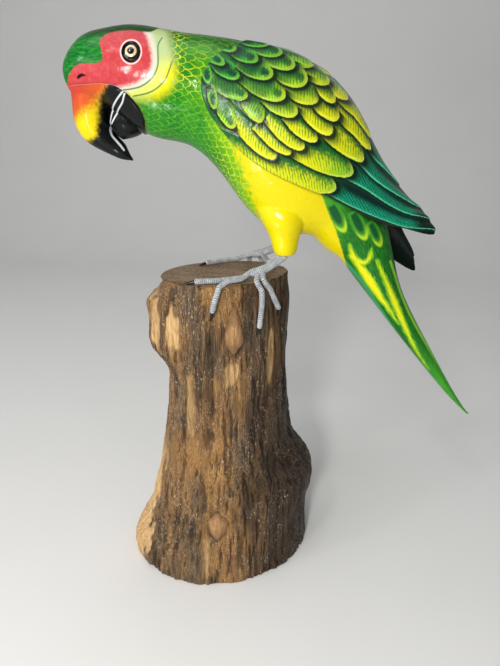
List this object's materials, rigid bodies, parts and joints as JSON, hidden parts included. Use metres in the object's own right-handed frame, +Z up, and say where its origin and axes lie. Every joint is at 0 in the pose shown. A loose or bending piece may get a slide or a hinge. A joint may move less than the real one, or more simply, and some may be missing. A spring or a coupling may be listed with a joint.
{
  "type": "carved wooden parrot on a log perch",
  "caption": "Painted, carved wooden parrot with thread-wound wire feet, gripping the sawn top of a natural log perch. A free-standing ornament.",
  "frame": {"origin": "middle of the log's sawn base, on the surface it stands on", "axes": "+Z up along the log; the bird faces -X, its left side is -Y"},
  "size_m": [0.2413, 0.0938, 0.3218],
  "materials": {
    "painted_body": "hand-painted, glossy varnish",
    "painted_wing": "hand-painted, glossy varnish",
    "painted_tail": "hand-painted, glossy varnish",
    "painted_beak": "black paint, glossy varnish",
    "eye_enamel": "painted and glazed bead",
    "perch_wood": "debarked, weathered grain, clear coat",
    "winding_thread": "wound grey-white thread",
    "claw_wire": "black painted steel wire",
    "dowel_wood": "bare turned wood"
  },
  "bodies": {
    "root": {"log_perch": "perch_wood", "body": "painted_body", "lower_beak": "painted_beak", "tail": "painted_tail", "tail_dowel": "dowel_wood", "wing_left": "painted_wing", "eye_left": "eye_enamel", "leg_wrap_left": "winding_thread", "wing_dowel_left_1": "dowel_wood", "wing_dowel_left_2": "dowel_wood", "toe_wire_left_1": "claw_wire", "toe_wire_left_2": "claw_wire", "toe_wire_left_3": "claw_wire", "toe_wire_left_4": "claw_wire", "toe_wrap_left_1": "winding_thread", "toe_wrap_left_2": "winding_thread", "toe_wrap_left_3": "winding_thread", "toe_wrap_left_4": "winding_thread", "wing_right": "painted_wing", "eye_right": "eye_enamel", "leg_wrap_right": "winding_thread", "wing_dowel_right_1": "dowel_wood", "wing_dowel_right_2": "dowel_wood", "toe_wire_right_1": "claw_wire", "toe_wire_right_2": "claw_wire", "toe_wire_right_3": "claw_wire", "toe_wire_right_4": "claw_wire", "toe_wrap_right_1": "winding_thread", "toe_wrap_right_2": "winding_thread", "toe_wrap_right_3": "winding_thread", "toe_wrap_right_4": "winding_thread"}
  },
  "joints": []
}
